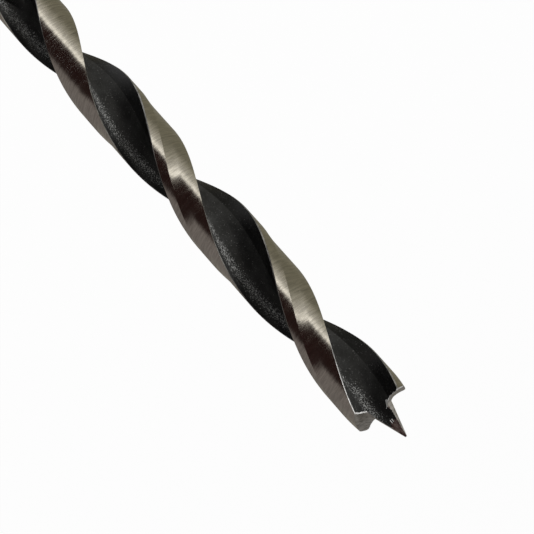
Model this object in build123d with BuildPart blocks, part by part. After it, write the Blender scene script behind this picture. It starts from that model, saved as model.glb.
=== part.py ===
from build123d import *
from math import asin, cos, degrees, radians, sin, tan
import os

# Brad point drill bit, one piece of ground steel, in millimetres.
# The origin is the centre of the flat shank end and +Z runs along the axis to the point.

# Blank and shank
bit_diameter = 4.0
overall_length = 75.0
shank_chamfer = 0.3

# Flutes: two, right hand
flute_length = 43.0
flute_lead = 25.9
web_thickness = 0.5
rake_flat_end = 0.45
run_out_length = 4.5
run_out_sink = 0.1

# Lands: angles round the axis, counted back from the leading edge
land_angle = 79.0
margin_angle = 22.0
ramp_angle = 12.0
land_relief = 0.115
relief_length = 36.0

# Ground end: the depths of the brad and the spurs are measured down from the tip
brad_half_angle = 17.2
brad_tip_radius = 0.03
brad_base_radius = 0.66
spur_depth = 2.21
spur_inset = 0.16
spur_rounding = 0.1
corner_drop = 0.12
valley_radius = 1.24
valley_drop = 0.08
primary_flank_angle = 52.0
primary_fall_per_turn = 0.9
heel_fall_per_turn = 6.3

# How far the grinding reaches past what it cuts
lead_in_angle = 26.0
heel_over_run_angle = 30.0
ramp_over_run = 0.4
reach_outside = 0.8
reach_above = 4.0
shoulder_lift = 0.1

# Worked out from the sizes above
bit_radius = bit_diameter / 2
half_web = web_thickness / 2
flute_start = overall_length - flute_length
relief_start = overall_length - relief_length
spur_level = overall_length - spur_depth
lead_angle = degrees(asin(half_web / bit_radius))
relieved_radius = bit_radius - land_relief
spur_radius = bit_radius - spur_inset
brad_base_depth = brad_base_radius / tan(radians(brad_half_angle))
shoulder_level = overall_length - brad_base_depth + shoulder_lift
outside_radius = bit_radius + reach_outside
sky_level = overall_length + reach_above


def at_angle(radius, angle):
    return (radius * cos(radians(angle)), radius * sin(radians(angle)))


def turn_at(height):
    # The lips lie along X at the level of the spurs.
    return 360 * (height - spur_level) / flute_lead


def draw_land(lead):
    # Outside of one land, from its heel to its leading edge.
    ThreePointArc(
        at_angle(bit_radius, lead - land_angle),
        at_angle(bit_radius, lead - land_angle / 2),
        at_angle(bit_radius, lead),
    )


def draw_flute(lead, side):
    # Flat rake face in from the leading edge, then one arc out to the next land's heel.
    flat_end = (side * rake_flat_end, side * half_web)
    next_heel = at_angle(bit_radius, lead + 180 - land_angle)
    Line(at_angle(bit_radius, lead), flat_end)
    TangentArc(flat_end, next_heel, tangent=(-side, 0))


def draw_clearance(lead):
    # What is ground off a land behind its margin: a straight ramp, then an even depth.
    # The ramp runs straight on out of the land, so that it leaves a sharp ridge there.
    ridge = at_angle(bit_radius, lead - margin_angle)
    foot = at_angle(relieved_radius, lead - margin_angle - ramp_angle)
    ramp_end = tuple(out + ramp_over_run * (out - within) for out, within in zip(ridge, foot))
    past_heel = lead - land_angle - heel_over_run_angle
    middle = lead - (land_angle + heel_over_run_angle + margin_angle) / 2
    Polyline(foot, ramp_end, at_angle(outside_radius, lead - margin_angle))
    ThreePointArc(
        at_angle(outside_radius, lead - margin_angle),
        at_angle(outside_radius, middle),
        at_angle(outside_radius, past_heel),
    )
    Line(at_angle(outside_radius, past_heel), at_angle(relieved_radius, past_heel))
    ThreePointArc(
        at_angle(relieved_radius, past_heel),
        at_angle(relieved_radius, middle),
        foot,
    )


def twisted(profile, bottom):
    # A profile carried up to the end of the bit, turning with the flutes.
    with BuildLine() as spine:
        Line((0, 0, bottom), (0, 0, overall_length))
    with BuildLine(Plane.XY.offset(bottom)) as guide:
        Helix(flute_lead, overall_length - bottom, bit_radius)
    with BuildPart() as length:
        with BuildSketch(Plane.XY.offset(bottom).rotated((0, 0, turn_at(bottom)))):
            add(profile)
        sweep(path=spine.wires()[0], binormal=guide.wires()[0])
    return length.part


def flank_cutter(lead, fall_per_turn):
    # What is ground away over one land: the end profile, falling evenly as it goes back.
    # Both flanks of a land meet where the primary one ends. The profile is drawn behind
    # the heel, in a plane through the axis, and climbs forward from there past the lip.
    behind = land_angle + heel_over_run_angle
    start = lead - behind
    meeting_fall = primary_fall_per_turn * primary_flank_angle / 360
    start_fall = meeting_fall + fall_per_turn * (behind - primary_flank_angle) / 360
    start_centre = (0, 0, overall_length - start_fall)
    end_plane = Plane(
        origin=start_centre,
        x_dir=(cos(radians(start)), sin(radians(start)), 0),
        z_dir=(sin(radians(start)), -cos(radians(start)), 0),
    )
    brad_side = (brad_base_radius, -brad_base_depth)
    under_brad = (brad_base_radius / 4, -brad_base_depth)
    valley = (valley_radius, -spur_depth - valley_drop)
    spur = (spur_radius, -spur_depth)
    slope = corner_drop / spur_inset
    outside = (outside_radius, -spur_depth - slope * (outside_radius - spur_radius))
    top = reach_above + start_fall
    with BuildLine() as path:
        Helix(
            fall_per_turn,
            fall_per_turn * (behind + lead_in_angle) / 360,
            bit_radius,
            center=start_centre,
        )
    with BuildPart() as cutter:
        with BuildSketch(end_plane) as profile:
            with BuildLine():
                Line(under_brad, brad_side)
                TangentArc(valley, brad_side, tangent=(-1, 0))
                TangentArc(valley, spur, tangent=(1, 0))
                Polyline(
                    spur,
                    outside,
                    (outside_radius, top),
                    (under_brad[0], top),
                    under_brad,
                )
            make_face()
            spur_corner = profile.vertices().sort_by_distance(end_plane.from_local_coords(spur))[0]
            fillet(spur_corner, radius=spur_rounding)
        sweep(path=path.wires()[0].rotate(Axis.Z, start), is_frenet=True)
    return cutter.part


# Cross sections of the fluted body and of what its lands lose, as they lie at the spurs
with BuildSketch() as body_section:
    with BuildLine():
        for side, lead in ((1, lead_angle), (-1, lead_angle + 180)):
            draw_land(lead)
            draw_flute(lead, side)
    make_face()

with BuildSketch() as clearance_section:
    for lead in (lead_angle, lead_angle + 180):
        with BuildLine():
            draw_clearance(lead)
        make_face()

fluted_body = twisted(body_section.sketch, flute_start)
land_clearance = twisted(clearance_section.sketch, relief_start)
flank_cutters = [
    flank_cutter(lead, fall_per_turn)
    for lead in (lead_angle, lead_angle + 180)
    for fall_per_turn in (primary_fall_per_turn, heel_fall_per_turn)
]

# What the end grinding leaves standing round the axis is the brad, a slender cone
with BuildPart() as ground_away:
    for cutter in flank_cutters:
        add(cutter)
    with BuildSketch(Plane.XY.offset(shoulder_level)):
        Circle(outside_radius)
    extrude(amount=sky_level - shoulder_level)
    with BuildSketch(Plane.XZ):
        cone_depth = 2 * bit_diameter
        Polygon(
            (0, overall_length),
            (brad_tip_radius, overall_length),
            (cone_depth * tan(radians(brad_half_angle)), overall_length - cone_depth),
            (0, overall_length - cone_depth),
            align=None,
        )
    revolve(axis=Axis.Z, mode=Mode.SUBTRACT)

with BuildPart() as drill_bit:
    # Shank, chamfered at its end
    with BuildSketch():
        Circle(bit_radius)
    extrude(amount=flute_start)
    chamfer(drill_bit.edges().group_by(Axis.Z)[0], shank_chamfer)
    add(fluted_body)
    add(land_clearance, mode=Mode.SUBTRACT)
    # Run-out: the floor of the flutes climbs along an arc to the surface of the shank
    with BuildSketch(Plane.XZ):
        run_out_end = (half_web - run_out_sink, flute_start + run_out_length)
        with BuildLine():
            TangentArc(run_out_end, (bit_radius, flute_start), tangent=(0, -1))
            Polyline(
                (bit_radius, flute_start),
                (0, flute_start),
                (0, run_out_end[1]),
                run_out_end,
            )
        make_face()
    revolve(axis=Axis.Z)
    add(ground_away.part, mode=Mode.SUBTRACT)
drill_bit.part.label = "drill_bit"

os.makedirs("parts", exist_ok=True)
export_step(drill_bit.part, "parts/drill_bit.step")
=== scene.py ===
# Brad point drill bit: the ground bit over its CAD frame, with its floor, light and camera.
import bpy
import numpy as np
from math import radians
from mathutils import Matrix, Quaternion, Vector


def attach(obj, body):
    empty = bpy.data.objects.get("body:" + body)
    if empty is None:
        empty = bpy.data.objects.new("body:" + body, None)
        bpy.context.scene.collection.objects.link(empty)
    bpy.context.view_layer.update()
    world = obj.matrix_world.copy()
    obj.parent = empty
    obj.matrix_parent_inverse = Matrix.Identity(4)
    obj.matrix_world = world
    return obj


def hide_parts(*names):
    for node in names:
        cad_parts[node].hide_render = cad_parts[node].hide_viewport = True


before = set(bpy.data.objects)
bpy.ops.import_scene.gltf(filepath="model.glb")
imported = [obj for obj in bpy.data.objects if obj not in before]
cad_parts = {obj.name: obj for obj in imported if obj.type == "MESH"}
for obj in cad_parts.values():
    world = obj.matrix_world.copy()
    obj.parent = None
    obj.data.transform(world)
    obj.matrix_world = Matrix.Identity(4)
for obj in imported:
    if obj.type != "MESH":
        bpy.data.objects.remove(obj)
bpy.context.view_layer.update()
print("frame loaded:", sorted(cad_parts))

millimetre = 0.001


def newMaterial(name):
    material = bpy.data.materials.new(name)
    material.use_nodes = True
    nodes = material.node_tree.nodes
    return material, nodes, material.node_tree.links, nodes["Principled BSDF"]


def addNoise(nodes, links, scale, detail=4.0, roughness=0.6):
    # a large scale makes the marks fine along that axis of the object
    place = nodes.new("ShaderNodeTexCoord")
    stretch = nodes.new("ShaderNodeMapping")
    stretch.inputs["Scale"].default_value = scale
    links.new(place.outputs["Object"], stretch.inputs["Vector"])
    noise = nodes.new("ShaderNodeTexNoise")
    noise.inputs["Scale"].default_value = 1.0
    noise.inputs["Detail"].default_value = detail
    noise.inputs["Roughness"].default_value = roughness
    links.new(stretch.outputs["Vector"], noise.inputs["Vector"])
    return noise.outputs["Fac"]


def addRamp(nodes, links, source, stops):
    # stops: (place, colour) pairs, a colour being a grey or three numbers
    node = nodes.new("ShaderNodeValToRGB")
    elements = node.color_ramp.elements
    for index, (place, colour) in enumerate(stops):
        element = elements[index] if index < 2 else elements.new(place)
        element.position = place
        shade = colour if isinstance(colour, tuple) else (colour,) * 3
        element.color = (*shade, 1)
    links.new(source, node.inputs["Fac"])
    return node.outputs["Color"]


def fade(nodes, links, source, ends, span=(0.3, 0.7)):
    # from one colour or number to another while the source goes over the span
    return addRamp(nodes, links, source, list(zip(span, ends)))


def addMix(nodes, links, share, first, second):
    # colours: sockets, or three numbers
    mixed = nodes.new("ShaderNodeMix")
    mixed.data_type = "RGBA"
    links.new(share, mixed.inputs["Factor"])
    for socket, colour in ((mixed.inputs["A"], first), (mixed.inputs["B"], second)):
        if isinstance(colour, tuple):
            socket.default_value = (*colour, 1)
        else:
            links.new(colour, socket)
    return mixed.outputs["Result"]


def addBumps(nodes, links, shader, bumps):
    # bumps: (height, depth in metres) pairs, one over the other
    normal = None
    for height, depth in bumps:
        bump = nodes.new("ShaderNodeBump")
        bump.inputs["Strength"].default_value = 1.0
        bump.inputs["Distance"].default_value = depth
        links.new(height, bump.inputs["Height"])
        if normal:
            links.new(normal, bump.inputs["Normal"])
        normal = bump.outputs["Normal"]
    links.new(normal, shader.inputs["Normal"])


landSteel = {
    "colour": ((0.49, 0.478, 0.441), (0.75, 0.73, 0.675)),
    "roughness": (0.17, 0.27),
    "metal": 1.0,
    "markScale": (1000, 1000, 7500),    # fine up the bit, drawn out round it
    "markDepth": 0.00002,
    "waveScale": (500, 500, 2200),
    "waveDepth": 0.00003,
}
endSteel = {
    "colour": ((0.40, 0.39, 0.36), (0.92, 0.905, 0.86)),
    "roughness": (0.24, 0.38),
    "metal": 1.0,
    "markScale": (5200, 1400, 3600),
    "markDepth": 0.00001,
}
edgeStrip = {
    "colour": ((0.10, 0.10, 0.095), (0.46, 0.455, 0.44)),
    "roughness": (0.30, 0.45),
    "metal": 0.8,
    "markScale": (1600, 1600, 1600),
    "markDepth": 0.000008,
}
# painted highlight: a near-white finish standing in for the glint of light on ground edges
paintedGlint = {
    "colour": ((0.34, 0.335, 0.32), (0.97, 0.96, 0.94)),
    "roughness": (0.26, 0.40),
    "metal": 0.20,                      # mostly diffuse, so the painted highlight shows whichever way the edge faces
    "markScale": (3600, 3600, 3600),
    "markDepth": 0.000008,
}
shankSteel = {
    "colour": ((0.55, 0.54, 0.51), (0.64, 0.63, 0.60)),
    "roughness": (0.22, 0.32),
    "metal": 1.0,
    "markScale": (180, 180, 7000),
    "markDepth": 0.000006,
}


def makeSteel(name, s):
    material, nodes, links, shader = newMaterial(name)
    marks = addNoise(nodes, links, s["markScale"])
    bumps = [(marks, s["markDepth"])]
    if "waveScale" in s:
        waves = addNoise(nodes, links, s["waveScale"], detail=2.0)
        bumps.append((waves, s["waveDepth"]))
    roughened = bumps[-1][0]
    colour = fade(nodes, links, marks, s["colour"])
    links.new(colour, shader.inputs["Base Color"])
    links.new(fade(nodes, links, roughened, s["roughness"]), shader.inputs["Roughness"])
    shader.inputs["Metallic"].default_value = s["metal"]
    addBumps(nodes, links, shader, bumps)
    return material


fluteOxide = {
    "colour": ((0.013, 0.013, 0.0125), (0.024, 0.024, 0.023)),
    "speck": (0.26, 0.26, 0.25),
    "paintedSheen": 0.175,                    # how many more specks the painted highlight streak has
    "roughness": (0.36, 0.50),
    "sheen": 0.16,
    "blotchScale": (900, 900, 900),
    "blotchDepth": 0.00001,
    "grainScale": (15000, 15000, 15000),
    "grainDepth": 0.00001,
}
# oxide with painted shade: darker than in the flutes, where the rake face lies in shade
rakeOxideShaded = {
    "colour": ((0.004, 0.004, 0.004), (0.007, 0.007, 0.007)),
    "speck": (0.14, 0.14, 0.135),
    "paintedSheen": 0.10,
    "roughness": (0.30, 0.42),
    "sheen": 0.14,
    "blotchScale": (1200, 1200, 1200),
    "blotchDepth": 0.000006,
    "grainScale": (15000, 15000, 15000),
    "grainDepth": 0.000006,
}
blotchSpan = (0.35, 0.7)
speckSpan = (0.66, 0.80)


def makeOxide(name, s):
    material, nodes, links, shader = newMaterial(name)
    blotches = addNoise(nodes, links, s["blotchScale"], detail=3.0)
    grain = addNoise(nodes, links, s["grainScale"], detail=2.0, roughness=0.5)
    streak = nodes.new("ShaderNodeAttribute")
    streak.attribute_name = "paintedSheen"
    lifted = nodes.new("ShaderNodeMath")
    lifted.operation = "MULTIPLY_ADD"
    links.new(streak.outputs["Fac"], lifted.inputs[0])
    lifted.inputs[1].default_value = s["paintedSheen"]
    links.new(grain, lifted.inputs[2])
    specks = fade(nodes, links, lifted.outputs[0], (0.0, 1.0), speckSpan)
    plain = fade(nodes, links, blotches, s["colour"], blotchSpan)
    colour = addMix(nodes, links, specks, plain, s["speck"])
    links.new(colour, shader.inputs["Base Color"])
    links.new(fade(nodes, links, blotches, s["roughness"]), shader.inputs["Roughness"])
    shader.inputs["Specular IOR Level"].default_value = s["sheen"]
    addBumps(nodes, links, shader, [(grain, s["grainDepth"]), (blotches, s["blotchDepth"])])
    return material


bit = {                         # millimetres and degrees
    "radius": 2.0,
    "length": 75.0,
    "shankChamfer": 0.3,
    "fluteStart": 32.0,
    "fluteLead": 25.9,
    "halfWeb": 0.25,
    "rakeFlatEnd": 0.45,
    "runOutLength": 4.5,
    "runOutSink": 0.1,
    # the outside of a land: margin, hollow ramp and relief, in from the leading edge
    "landAngle": 79.0,
    "marginAngle": 22.0,
    "rampAngle": 22.0,
    "landRelief": 0.115,
    "reliefStart": 43.5,
    "reliefBlend": 0.5,
    "edgeWidth": 0.06,          # strips along the leading edge and the heel
    "heelWidth": 0.055,
    # the ground end: depths are measured down from the tip
    "bradHalfAngle": 17.2,
    "bradTipRadius": 0.06,
    "bradBaseRadius": 0.63,
    "bradFlatHalfAngle": 12.5,  # two flats on the brad, in line with the flutes
    "bradFlatInset": 0.02,
    "bradFlatDirection": 60.0,
    "bradReach": 0.6,
    "lipLineDepth": 2.21,       # here the lips lie along X
    "spurDepth": 2.15,
    "spurInset": 0.176,
    "spurSoftness": 0.025,
    "cornerDrop": 0.06,
    "valleyRadius": 1.15,
    "valleyDrop": 0.115,
    "primaryFlankAngle": 52.0,
    "primaryFallPerTurn": 0.9,
    "heelFallPerTurn": 6.3,
    # small bevels along both edges of the end, and a facet at the inner end of each lip
    "bevelDepth": 0.045,
    "bevelAngle": 2.2,
    "bevelWaves": ((0.5, 17, 0), (0.4, 43, 1)),     # share of the depth, waves, start
    "heelBevelShare": 0.5,
    "facetRadii": (0.60, 0.95),
    "facetDepth": 0.17,
    # where the finishes change
    "rakeInner": 1.1,           # the rake face takes the darker oxide with painted shade out from here
    "oxideDepth": 1.15,         # the brad's flats take the darker oxide with painted shade from here down
    "brightPatchDepth": (1.13, 1.23),
    "brightPatchReach": 0.08,
    "glintRows": 32,            # painted highlight along the top of the heel edge
    "rimRows": 2,               # and on the rim of the end over the margin
    "paintedSheenRadii": (0.7, 1.7),  # painted highlight streak on the heel side of the flute
    "paintedSheenTipRadii": (0.25, 1.15),
    "paintedSheenTipStart": 69.5,
    "paintedSheenTipBlend": 2.0,
    "sharpAngle": 28.0,
    # how the mesh is divided
    "marginColumns": 18,
    "rampColumns": 18,
    "reliefColumns": 26,
    "innerLevels": 12,
    "outerLevels": (22, 16),
    "outerSplit": 0.72,
    "bradRings": (0.85, 0.7, 0.55, 0.4, 0.28, 0.18, 0.11, 0.07, 0.045, 0.02),
    "shankCentre": 0.5,
    "shankRows": (8.0, 16.0, 24.0, 30.0),
    "rowHeight": 0.22,
    "straightTop": 71.0,        # rows are level up to here, then fan out to the ground end
    "fanRows": 9,
    "creaseGuess": 0.7,
    "steps": 40,
    "fallSteps": 6,
}
b = bit
leadAngle = np.arcsin(b["halfWeb"] / b["radius"])
ridgeAngle = leadAngle - radians(b["marginAngle"])
footAngle = ridgeAngle - radians(b["rampAngle"])
reliefAngle = b["landAngle"] - b["marginAngle"] - b["rampAngle"]
flatDirection = radians(b["bradFlatDirection"])
bradSlope = np.tan(radians(b["bradHalfAngle"]))
flatSlope = np.tan(radians(b["bradFlatHalfAngle"]))
bradBaseDepth = b["bradBaseRadius"] / bradSlope
valleyDepth = b["spurDepth"] + b["valleyDrop"]
spurRadius = b["radius"] - b["spurInset"]
lipLevel = b["length"] - b["lipLineDepth"]
facetStart, facetEnd = b["facetRadii"]

# the arc of the flute: tangent to the rake flat at its end, out to the next land's heel
heelDirection = leadAngle + np.pi - radians(b["landAngle"])
heelPoint = b["radius"] * np.array((np.cos(heelDirection), np.sin(heelDirection)))
reach = heelPoint - (b["rakeFlatEnd"], b["halfWeb"])
fluteArc = reach @ reach / (2 * reach[1])
arcCentre = np.array((b["rakeFlatEnd"], b["halfWeb"] + fluteArc))
centreDistance = np.hypot(*arcCentre)
centreDirection = np.arctan2(arcCentre[1], arcCentre[0])
slightlyLess = 1 - 1e-9         # keeps the core circle just clear of the arc
coreRadius = centreDistance - fluteArc * slightlyLess
flatEndRadius = np.hypot(b["rakeFlatEnd"], b["halfWeb"])


def arcSpread(radius):
    cosine = (radius**2 + centreDistance**2 - fluteArc**2) / (2 * radius * centreDistance)
    return np.arccos(np.clip(cosine, -1, 1))


def frontAngle(radius):
    # direction of the rake side of a land at a radius
    flat = np.arcsin(np.clip(b["halfWeb"] / radius, -1, 1))
    return np.where(radius > flatEndRadius, flat, centreDirection - arcSpread(radius))


def rearAngle(radius):
    # direction of the heel side of the same land
    return centreDirection + arcSpread(radius) - np.pi


def turnAt(height):
    return 2 * np.pi * (height - lipLevel) / b["fluteLead"]


def coneDepth(radius):
    return np.maximum(radius - b["bradTipRadius"], 0) / bradSlope


def flatDepth(radius, angle):
    across = radius * np.abs(np.cos(angle - flatDirection))
    return (across - b["bradFlatInset"]) / flatSlope


def bowl(radius, rimRadius, rimDepth):
    # an arc that is level at the bottom of the valley and passes through a rim point
    run = abs(rimRadius - b["valleyRadius"])
    rise = valleyDepth - rimDepth
    size = (run**2 + rise**2) / (2 * rise)
    away = np.clip(radius - b["valleyRadius"], -size, size)
    return valleyDepth - size + np.sqrt(size**2 - away**2)


def lipDepth(radius):
    # the end profile along a lip: foot of the brad, valley, rounded spur, outer corner
    inner = np.where(radius < b["bradBaseRadius"], bradBaseDepth,
                     bowl(radius, b["bradBaseRadius"], bradBaseDepth))
    outer = bowl(radius, spurRadius, b["spurDepth"])
    corner = b["spurDepth"] + b["cornerDrop"] / b["spurInset"] * (radius - spurRadius)
    soft = b["spurSoftness"]
    spur = soft * np.logaddexp(outer / soft, corner / soft)
    return np.where(radius < b["valleyRadius"], inner, spur)


def flankFall(behind):
    # how far the flank has fallen at an angle behind the lip
    first = radians(b["primaryFlankAngle"])
    primary = b["primaryFallPerTurn"] * behind
    heel = b["primaryFallPerTurn"] * first + b["heelFallPerTurn"] * (behind - first)
    return np.where(behind < first, primary, heel) / (2 * np.pi)


def endLevel(radius, angle):
    # height of the ground end over a point of the section, found in small steps
    level = b["length"] - lipDepth(radius)
    for _ in range(b["steps"]):
        turned = angle + turnAt(level)
        flank = lipDepth(radius) + flankFall(leadAngle - turned)
        brad = np.maximum(coneDepth(radius), flatDepth(radius, turned))
        depth = np.minimum(flank, brad)
        level = (level + b["length"] - depth) / 2
    return level


def creaseRadius(share):
    # where the brad rises out of the flank, along each column of the land
    radius = np.full(share.shape, b["creaseGuess"])
    for _ in range(b["steps"]):
        angle = rearAngle(radius[0]) * (1 - share) + frontAngle(radius[-1]) * share
        depth = lipDepth(radius)
        for _ in range(b["fallSteps"]):
            behind = leadAngle - (angle + turnAt(b["length"] - depth))
            depth = lipDepth(radius) + flankFall(behind)
        radius = (radius + depth * bradSlope + b["bradTipRadius"]) / 2
    return radius


# columns over the outside of a land, heel first: how far back each is in its own part
bevelBack = b["bevelAngle"] / reliefAngle
bevelFront = b["bevelAngle"] / b["marginAngle"]
backShare = np.concatenate([
    (1,), np.linspace(1 - bevelBack, 0, b["reliefColumns"] - 1, endpoint=False),
    np.linspace(1, 0, b["rampColumns"], endpoint=False),
    np.linspace(1, bevelFront, b["marginColumns"]), (0,),
])
columnCount = len(backShare)
ridgeColumn = b["reliefColumns"] + b["rampColumns"]
reliefPart = slice(0, b["reliefColumns"])
rampPart = slice(b["reliefColumns"], ridgeColumn)
marginPart = slice(ridgeColumn, None)
# levels from the core out to the edge, closer together near the crease and the rim
nearLevels, farLevels = b["outerLevels"]
innerShare = np.linspace(0, 1, b["innerLevels"])**2
outerShare = np.concatenate([
    np.linspace(0, b["outerSplit"], nearLevels)[1:],
    np.linspace(b["outerSplit"], 1, farLevels)[1:],
])
levelCount = len(innerShare) + len(outerShare)


def outside(reliefShare):
    # radius and direction of the outside of a land, where the relief has come in by a share
    heelRadius = b["radius"] - b["landRelief"] * reliefShare
    heelEnd = rearAngle(heelRadius) + b["heelWidth"] / heelRadius
    leadEnd = leadAngle - b["edgeWidth"] / b["radius"]
    angle = np.empty(columnCount)
    angle[reliefPart] = footAngle + (heelEnd - footAngle) * backShare[reliefPart]
    angle[rampPart] = ridgeAngle + (footAngle - ridgeAngle) * backShare[rampPart]
    angle[marginPart] = leadEnd + (ridgeAngle - leadEnd) * backShare[marginPart]
    radius = np.full(columnCount, b["radius"])
    radius[reliefPart] = heelRadius
    hollow = 1 - (1 - backShare[rampPart])**2
    radius[rampPart] = b["radius"] + (heelRadius - b["radius"]) * hollow
    return radius, angle


outsideRadius, outsideAngle = outside(1.0)
columnShare = (outsideAngle - outsideAngle[0]) / (outsideAngle[-1] - outsideAngle[0])
crease = creaseRadius(columnShare)


def levels(crease, outer):
    # radii of the levels of each column: out from the core, through the crease, to the edge
    inner = coreRadius + (crease - coreRadius) * innerShare[:, None]
    beyond = crease + (outer - crease) * outerShare[:, None]
    return np.concatenate([inner, beyond])


def section(reliefShare):
    # one land's half of the section: up the heel side, over the outside, down the rake
    radius, angle = outside(reliefShare)
    rear = levels(crease[:1], radius[:1] - b["heelWidth"])[:, 0]
    front = levels(crease[-1:], radius[-1:] - b["edgeWidth"])[:0:-1, 0]
    return (np.concatenate([rear, radius, front]),
            np.concatenate([rearAngle(rear), angle, frontAngle(front)]))


def bothLands(radius, angle):
    return np.tile(radius, 2), np.concatenate([angle, angle + np.pi])


halfRadius, halfAngle = section(1.0)
halfCount = len(halfRadius)
heelStrip = levelCount - 1
edgeColumn = levelCount + columnCount - 1


def runOutRadius(height):
    # the floor of the flutes climbs along an arc to the surface of the shank
    end = b["halfWeb"] - b["runOutSink"]
    across = b["radius"] - end
    size = (across**2 + b["runOutLength"]**2) / (2 * across)
    below = b["fluteStart"] + b["runOutLength"] - height
    return end + size - np.sqrt(size**2 - below**2) if below > 0 else 0.0


def smoothStep(value):
    value = min(max(value, 0.0), 1.0)
    return value * value * (3 - 2 * value)


def bevelDrop():
    # how far the edges of the ground end are bevelled off, along half of the section
    waves = sum(size * np.sin(count * halfRadius + start)
                for size, count, start in b["bevelWaves"])
    drop = b["bevelDepth"] * (1 + waves)
    drop[:levelCount] *= b["heelBevelShare"]
    drop[levelCount:edgeColumn + 1] = 0
    drop[halfRadius < facetStart] = 0
    atFacet = np.clip((halfRadius - facetStart) / (facetEnd - facetStart), 0, 1)
    facet = b["facetDepth"] * np.sin(np.pi * atFacet)**2
    drop[edgeColumn + 1:] += facet[edgeColumn + 1:]
    return drop


def addRow(parts, radius, angle, height):
    # parts gathers the points; the row is their numbers
    first = sum(len(part) for part in parts)
    height = np.broadcast_to(height, radius.shape)
    parts.append(np.stack([radius * np.cos(angle), radius * np.sin(angle), height], 1))
    return np.arange(first, first + len(radius))


def addPoint(parts, height):
    return addRow(parts, np.zeros(1), np.zeros(1), height)[0]


def makeShankRows(parts):
    # the shank has the columns of the first fluted row
    radius, angle = bothLands(*section(0.0))
    around = angle + turnAt(b["fluteStart"])
    rings = [(b["shankCentre"], 0.0), (b["radius"] - b["shankChamfer"], 0.0),
             (b["radius"], b["shankChamfer"])]
    rings += [(b["radius"], height) for height in b["shankRows"]]
    return [addRow(parts, np.full(radius.shape, size), around, height)
            for size, height in rings]


def makeFlutedRows(parts):
    rows = []
    count = int(round((b["straightTop"] - b["fluteStart"]) / b["rowHeight"]))
    for height in np.linspace(b["fluteStart"], b["straightTop"], count + 1):
        reliefShare = smoothStep((height - b["reliefStart"]) / b["reliefBlend"])
        radius, angle = bothLands(*section(reliefShare))
        radius = np.maximum(radius, runOutRadius(height))
        rows.append(addRow(parts, radius, angle + turnAt(height), height))
    # the last rows fan out to the ground end
    radius, angle = bothLands(halfRadius, halfAngle)
    top = np.tile(endLevel(halfRadius, halfAngle) - bevelDrop(), 2)
    for step in range(1, b["fanRows"] + 1):
        height = b["straightTop"] + (top - b["straightTop"]) * step / b["fanRows"]
        rows.append(addRow(parts, radius, angle + turnAt(height), height))
    return rows


edgeInset = np.linspace(b["heelWidth"], b["edgeWidth"], columnCount)
gridRadius = levels(crease, outsideRadius - edgeInset)
gridRear = rearAngle(gridRadius[:, 0])[:, None]
gridFront = frontAngle(gridRadius[:, -1])[:, None]
gridAngle = gridRear * (1 - columnShare) + gridFront * columnShare


def makeEndGrids(parts, topRow):
    # ground end of each land: levels and columns between the two sides of the top row
    grids = np.zeros((2, levelCount + 1, columnCount), int)
    inside = slice(1, columnCount - 1)
    radius, angle = gridRadius[:, inside], gridAngle[:, inside]
    level = endLevel(radius, angle)
    for land, grid in enumerate(grids):
        side = np.roll(topRow, -land * halfCount)
        grid[:levelCount, 0] = side[:levelCount]
        grid[levelCount] = side[levelCount:edgeColumn + 1]
        grid[levelCount - 1:0:-1, -1] = side[edgeColumn + 1:halfCount]
        grid[0, -1] = side[halfCount]
        turned = angle + turnAt(level) + land * np.pi
        added = addRow(parts, radius.ravel(), turned.ravel(), level.ravel())
        grid[:levelCount, inside] = added.reshape(level.shape)
    return grids


def makeBradRings(parts, grids):
    # the brad inside the core: rings round the axis, from the core up to the tip
    angle = np.concatenate([gridAngle[0, :-1], gridAngle[0, :-1] + np.pi])
    rings = [grids[:, 0, :-1].ravel()]
    for size in b["bradRings"]:
        radius = np.full(angle.shape, coreRadius * size)
        level = endLevel(radius, angle)
        rings.append(addRow(parts, radius, angle + turnAt(level), level))
    return rings


def band(lower, upper):
    # closed band of quads between two rows
    nextLower, nextUpper = np.roll(lower, -1), np.roll(upper, -1)
    return np.stack([lower, nextLower, nextUpper, upper], 1)


def fan(row, point):
    # triangles from a closed row to one point
    return np.stack([row, np.roll(row, -1), np.full(len(row), point)], 1)


# the body's materials, in the order of their slots
onLand, onFlute, onEnd, onEdge, onShank, onShadedOxide, onPaintedGlint = range(7)


def columnFinishes():
    # the material of every column of the loop: on the plain rows, and on those with the painted
    # glint
    plain = np.full(halfCount, onFlute)
    plain[levelCount:edgeColumn] = onLand
    plain[[heelStrip, edgeColumn]] = onEdge
    plain[edgeColumn + 1:][halfRadius[edgeColumn + 1:] > b["rakeInner"]] = onShadedOxide
    glinting = plain.copy()
    glinting[heelStrip] = onPaintedGlint
    return np.tile(plain, 2), np.tile(glinting, 2)


def finishBrad(points, quads, finish):
    # black oxide with painted shade on the brad's flats as far up as the flutes reach, and a small
    # bright patch in the painted glint finish there
    middle = points[quads].mean(1)
    radius = np.hypot(middle[:, 0], middle[:, 1])
    angle = np.arctan2(middle[:, 1], middle[:, 0])
    depth = b["length"] - middle[:, 2]
    onFlat = flatDepth(radius, angle) > coneDepth(radius)
    onBrad = onFlat & (finish == onEnd) & (radius < b["bradReach"])
    finish[onBrad & (depth > b["oxideDepth"])] = onShadedOxide
    # a small bright patch on each flat, in the painted glint finish
    patchTop, patchFoot = b["brightPatchDepth"]
    aside = np.abs(radius * np.sin(angle - flatDirection))
    inBrightPatch = (depth > patchTop) & (depth < patchFoot) & (aside < b["brightPatchReach"])
    finish[onBrad & inBrightPatch] = onPaintedGlint


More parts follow.
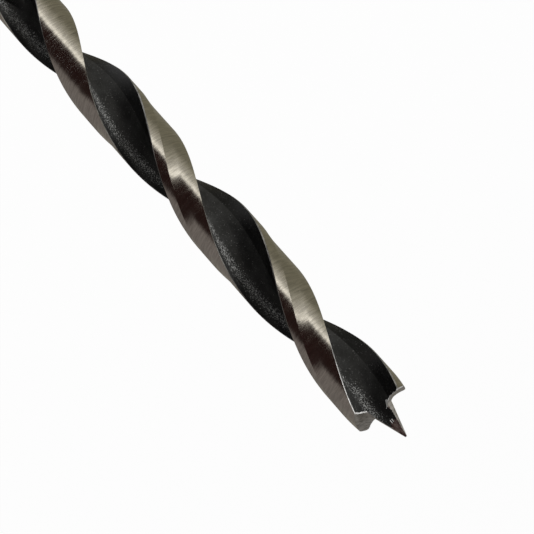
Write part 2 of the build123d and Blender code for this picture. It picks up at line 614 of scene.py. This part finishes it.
def paintedSheenShares(points, flutedRows):
    # how strong the painted highlight is: a streak along the heel side of each flute
    streaks = []
    for start, end in (b["paintedSheenRadii"], b["paintedSheenTipRadii"]):
        streak = np.sin(np.pi * np.clip((halfRadius - start) / (end - start), 0, 1))
        streak[levelCount:] = 0
        streaks.append(np.tile(streak, 2))
    along, atTip = streaks
    paintedSheen = np.zeros(len(points))
    for row in flutedRows:
        height = points[row[0], 2]
        share = smoothStep((height - b["paintedSheenTipStart"]) / b["paintedSheenTipBlend"])
        paintedSheen[row] = along * (1 - share) + atTip * share
    return paintedSheen


def makeMesh(name, points, quads, triangles, finish):
    mesh = bpy.data.meshes.new(name)
    corners = np.concatenate([quads.ravel(), triangles.ravel()])
    starts = np.concatenate([4 * np.arange(len(quads)),
                             4 * len(quads) + 3 * np.arange(len(triangles))])
    mesh.vertices.add(len(points))
    mesh.vertices.foreach_set("co", (points * millimetre).ravel())
    mesh.loops.add(len(corners))
    mesh.loops.foreach_set("vertex_index", corners)
    mesh.polygons.add(len(starts))
    mesh.polygons.foreach_set("loop_start", starts)
    for material in (
        makeSteel("land ground steel", landSteel),
        makeOxide("flute black oxide", fluteOxide),
        makeSteel("end fresh ground steel", endSteel),
        makeSteel("edge strip", edgeStrip),
        makeSteel("shank ground steel", shankSteel),
        makeOxide("rake face oxide painted shade", rakeOxideShaded),
        makeSteel("edge painted glint", paintedGlint),
    ):
        mesh.materials.append(material)
    mesh.polygons.foreach_set("material_index", finish)
    mesh.update(calc_edges=True)
    mesh.validate()
    mesh.shade_smooth()
    return mesh


def markSharp(mesh, flutedRows):
    # sharp by angle, and along the ridge at the back of each margin
    mesh.set_sharp_from_angle(angle=radians(b["sharpAngle"]))
    edges = np.zeros(len(mesh.edges) * 2, int)
    mesh.edges.foreach_get("vertices", edges)
    onRidge = np.zeros(len(mesh.vertices), bool)
    ridge = levelCount + ridgeColumn
    for row in flutedRows:
        onRidge[row[[ridge, halfCount + ridge]]] = True
    sharpEdges = mesh.attributes["sharp_edge"].data
    sharp = np.zeros(len(mesh.edges), bool)
    sharpEdges.foreach_get("value", sharp)
    sharp |= onRidge[edges.reshape(-1, 2)].all(1)
    sharpEdges.foreach_set("value", sharp)


def buildBit():
    parts = []
    quads, finishes = [], []

    def addQuads(more, finish):
        more = more.reshape(-1, 4)
        quads.append(more)
        finishes.append(np.broadcast_to(finish, len(more)))

    centre = addPoint(parts, 0.0)
    shankRows = makeShankRows(parts)
    flutedRows = makeFlutedRows(parts)
    grids = makeEndGrids(parts, flutedRows[-1])
    rings = makeBradRings(parts, grids)
    tip = addPoint(parts, b["length"])

    for lower, upper in zip(shankRows, shankRows[1:] + flutedRows[:1]):
        addQuads(band(lower, upper), onShank)
    plain, glinting = columnFinishes()
    glintStart = len(flutedRows) - 1 - b["glintRows"]
    for index, (lower, upper) in enumerate(zip(flutedRows[:-1], flutedRows[1:])):
        addQuads(band(lower, upper), plain if index < glintStart else glinting)
    # painted highlight on the end's bevelled sides out from the facet, and on the rim over the
    # margin
    glintedSides = np.where(gridRadius[:, 0] > facetStart, onPaintedGlint, onEnd)
    rim = levelCount - b["rimRows"]
    for grid in grids:
        cells = np.stack([grid[:-1, :-1], grid[1:, :-1], grid[1:, 1:], grid[:-1, 1:]], -1)
        addQuads(cells[:rim, 1:-1], onEnd)
        addQuads(cells[rim:, 1:ridgeColumn], onEnd)
        addQuads(cells[rim:, ridgeColumn:-1], onPaintedGlint)
        addQuads(cells[:, 0], glintedSides)
        addQuads(cells[:, -1], glintedSides)
    for outer, inner in zip(rings[:-1], rings[1:]):
        addQuads(band(outer, inner), onEnd)

    points = np.concatenate(parts)
    quads = np.concatenate(quads)
    shankEnd = fan(shankRows[0], centre)[:, ::-1]
    bradTip = fan(rings[-1], tip)
    finish = np.concatenate(finishes)
    finishBrad(points, quads, finish)
    finish = np.concatenate([finish, np.full(len(shankEnd), onShank),
                             np.full(len(bradTip), onEnd)])
    mesh = makeMesh("drillBitBody", points, quads, np.concatenate([shankEnd, bradTip]), finish)
    paintedSheen = mesh.attributes.new("paintedSheen", "FLOAT", "POINT")
    paintedSheen.data.foreach_set("value", paintedSheenShares(points, flutedRows))
    markSharp(mesh, flutedRows)
    piece = bpy.data.objects.new("drillBitBody", mesh)
    bpy.context.scene.collection.objects.link(piece)
    return piece


body = buildBit()
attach(body, "root")
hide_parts("drill_bit")
print("drill bit:", len(body.data.vertices), "points,", len(body.data.polygons), "faces")


paleFloor = {
    "size": 6.0,
    "colour": (0.86, 0.86, 0.86),
    "roughness": 0.9,
    "whiteShare": 0.97,         # how far it goes to plain white where it is looked at
}


def seenDirectly(nodes, links):
    # camera, mirror and glass rays show the white background
    path = nodes.new("ShaderNodeLightPath")
    total = path.outputs["Is Camera Ray"]
    for name in ("Is Glossy Ray", "Is Transmission Ray"):
        join = nodes.new("ShaderNodeMath")
        join.operation = "MAXIMUM"
        links.new(total, join.inputs[0])
        links.new(path.outputs[name], join.inputs[1])
        total = join.outputs[0]
    return total


def addShaderMix(nodes, links, share, first, second):
    mix = nodes.new("ShaderNodeMixShader")
    links.new(share, mix.inputs["Fac"])
    links.new(first.outputs[0], mix.inputs[1])
    links.new(second.outputs[0], mix.inputs[2])
    return mix.outputs[0]


def makeFloor():
    s = paleFloor
    half = s["size"] / 2
    mesh = bpy.data.meshes.new("floor")
    corners = [(-half, -half, 0), (half, -half, 0), (half, half, 0), (-half, half, 0)]
    mesh.from_pydata(corners, [], [(0, 1, 2, 3)])
    floor = bpy.data.objects.new("floor", mesh)
    bpy.context.scene.collection.objects.link(floor)
    material, nodes, links, shader = newMaterial("floor pale")
    shader.inputs["Base Color"].default_value = (*s["colour"], 1)
    shader.inputs["Roughness"].default_value = s["roughness"]
    white = nodes.new("ShaderNodeEmission")
    white.inputs["Strength"].default_value = 1.0
    share = nodes.new("ShaderNodeMath")
    share.operation = "MULTIPLY"
    share.inputs[1].default_value = s["whiteShare"]
    links.new(seenDirectly(nodes, links), share.inputs[0])
    links.new(addShaderMix(nodes, links, share.outputs[0], shader, white),
              nodes["Material Output"].inputs["Surface"])
    mesh.materials.append(material)


studio = {
    "worldStrength": 0.24,
    "lampPower": 2.2,
    "lampSize": 0.20,
    "lampPlace": (0.430, -0.092, 0.180),
    "lampAim": (0, 0, 0.04),
}


def makeWorld():
    world = bpy.data.worlds.new("studio")
    bpy.context.scene.world = world
    world.use_nodes = True
    nodes, links = world.node_tree.nodes, world.node_tree.links
    light = nodes["Background"]
    white = nodes.new("ShaderNodeBackground")
    for background, strength in ((light, studio["worldStrength"]), (white, 1.0)):
        background.inputs["Color"].default_value = (1, 1, 1, 1)
        background.inputs["Strength"].default_value = strength
    links.new(addShaderMix(nodes, links, seenDirectly(nodes, links), light, white),
              nodes["World Output"].inputs["Surface"])


def makeLamp():
    s = studio
    lamp = bpy.data.lights.new("softbox", "AREA")
    lamp.shape = "DISK"
    lamp.size = s["lampSize"]
    lamp.energy = s["lampPower"]
    holder = bpy.data.objects.new("softbox", lamp)
    holder.location = s["lampPlace"]
    aim = Vector(s["lampAim"]) - holder.location
    holder.rotation_euler = aim.to_track_quat("-Z", "Y").to_euler()
    holder.visible_glossy = False
    bpy.context.scene.collection.objects.link(holder)


tent = {                        # the cloth round the bit that its ground steel mirrors
    "radius": 0.06,
    "height": 0.17,
    "middle": 0.075,
    "around": 64,
    "up": 32,
    # panels: the direction in degrees where each shade stands, and the shade
    "lower": (
        (-180, (0.19, 0.17, 0.16)),
        (-112, (0.24, 0.225, 0.18)),
        (-60, (0.19, 0.175, 0.125)),
        (-14, (0.19, 0.175, 0.13)),
        (4, (0.36, 0.335, 0.27)),
        (24, (0.54, 0.51, 0.45)),
        (40, (1.45, 1.38, 1.26)),
        (47, (0.020, 0.009, 0.008)),
        (112, (0.020, 0.010, 0.009)),
        (126, (0.20, 0.175, 0.165)),
        (180, (0.19, 0.17, 0.16)),
    ),
    "upper": (
        (-180, (0.12, 0.11, 0.105)),
        (-100, (0.22, 0.21, 0.20)),
        (-60, (0.42, 0.41, 0.40)),
        (-25, (0.30, 0.29, 0.28)),
        (-8, (0.50, 0.48, 0.45)),
        (30, (0.50, 0.48, 0.45)),
        (44, (0.034, 0.013, 0.014)),
        (120, (0.04, 0.016, 0.017)),
        (150, (0.10, 0.08, 0.08)),
        (180, (0.12, 0.11, 0.105)),
    ),
    "top": (0.16, 0.15, 0.14),
    # heights where the lower panels go over to the upper ones, and those to the top
    "upperSpan": (-0.10, 0.08),
    "topSpan": (0.35, 0.60),
}


def makeTent():
    s = tent
    around, up = s["around"], s["up"]
    mesh = bpy.data.meshes.new("tent")
    points = []
    for lift in np.pi * (np.arange(up + 1) / up - 0.5):
        for turn in 2 * np.pi * np.arange(around) / around:
            points.append((np.cos(lift) * np.cos(turn), np.cos(lift) * np.sin(turn), np.sin(lift)))
    quads = [(row * around + column, row * around + (column + 1) % around,
              (row + 1) * around + (column + 1) % around, (row + 1) * around + column)
             for row in range(up) for column in range(around)]
    mesh.from_pydata(points, [], quads)
    cloth = bpy.data.objects.new("tent", mesh)
    cloth.scale = (s["radius"], s["radius"], s["height"] / 2)
    cloth.location = (0, 0, s["middle"])
    bpy.context.scene.collection.objects.link(cloth)
    material, nodes, links, shader = newMaterial("tent panels")
    nodes.remove(shader)
    place = nodes.new("ShaderNodeTexCoord").outputs["Object"]
    radial = nodes.new("ShaderNodeTexGradient")
    radial.gradient_type = "RADIAL"
    links.new(place, radial.inputs["Vector"])
    split = nodes.new("ShaderNodeSeparateXYZ")
    links.new(place, split.inputs["Vector"])
    lower, upper = (
        addRamp(nodes, links, radial.outputs["Fac"],
                [((angle + 180) / 360, shade) for angle, shade in panels])
        for panels in (s["lower"], s["upper"])
    )
    shade = lower
    for (start, end), above in ((s["upperSpan"], upper), (s["topSpan"], s["top"])):
        height = nodes.new("ShaderNodeMapRange")
        height.inputs["From Min"].default_value = start
        height.inputs["From Max"].default_value = end
        links.new(split.outputs["Z"], height.inputs["Value"])
        shade = addMix(nodes, links, height.outputs["Result"], shade, above)
    glow = nodes.new("ShaderNodeEmission")
    glow.inputs["Strength"].default_value = 1.0
    links.new(shade, glow.inputs["Color"])
    links.new(glow.outputs[0], nodes["Material Output"].inputs["Surface"])
    mesh.materials.append(material)
    # only mirrored in the steel: it is not seen itself and keeps no light off
    cloth.visible_camera = False
    cloth.visible_diffuse = False
    cloth.visible_transmission = False
    cloth.visible_shadow = False


camera = {
    "place": (0.04944526, 0.07357751, 0.09589303),
    "heading": -123.5877,       # direction of the view, round from +X
    "tilt": -21.5,
    "roll": 138.471,
    "lens": 102.0864,
    "sensor": 36.0,
    "nearest": 0.002,
    "farthest": 20.0,
}


def makeCamera():
    s = camera
    data = bpy.data.cameras.new("camera")
    data.lens = s["lens"]
    data.sensor_width = s["sensor"]
    data.clip_start = s["nearest"]
    data.clip_end = s["farthest"]
    eye = bpy.data.objects.new("camera", data)
    heading, tilt = radians(s["heading"]), radians(s["tilt"])
    level = np.cos(tilt)
    view = Vector((level * np.cos(heading), level * np.sin(heading), np.sin(tilt)))
    roll = Quaternion((0, 0, 1), radians(s["roll"]))
    eye.location = s["place"]
    eye.rotation_mode = "QUATERNION"
    eye.rotation_quaternion = view.to_track_quat("-Z", "Y") @ roll
    bpy.context.scene.collection.objects.link(eye)
    bpy.context.scene.camera = eye


makeFloor()
makeWorld()
makeTent()
makeLamp()
makeCamera()
bpy.context.scene.view_settings.view_transform = "Standard"
print("floor, tent, lamp and camera are in place")
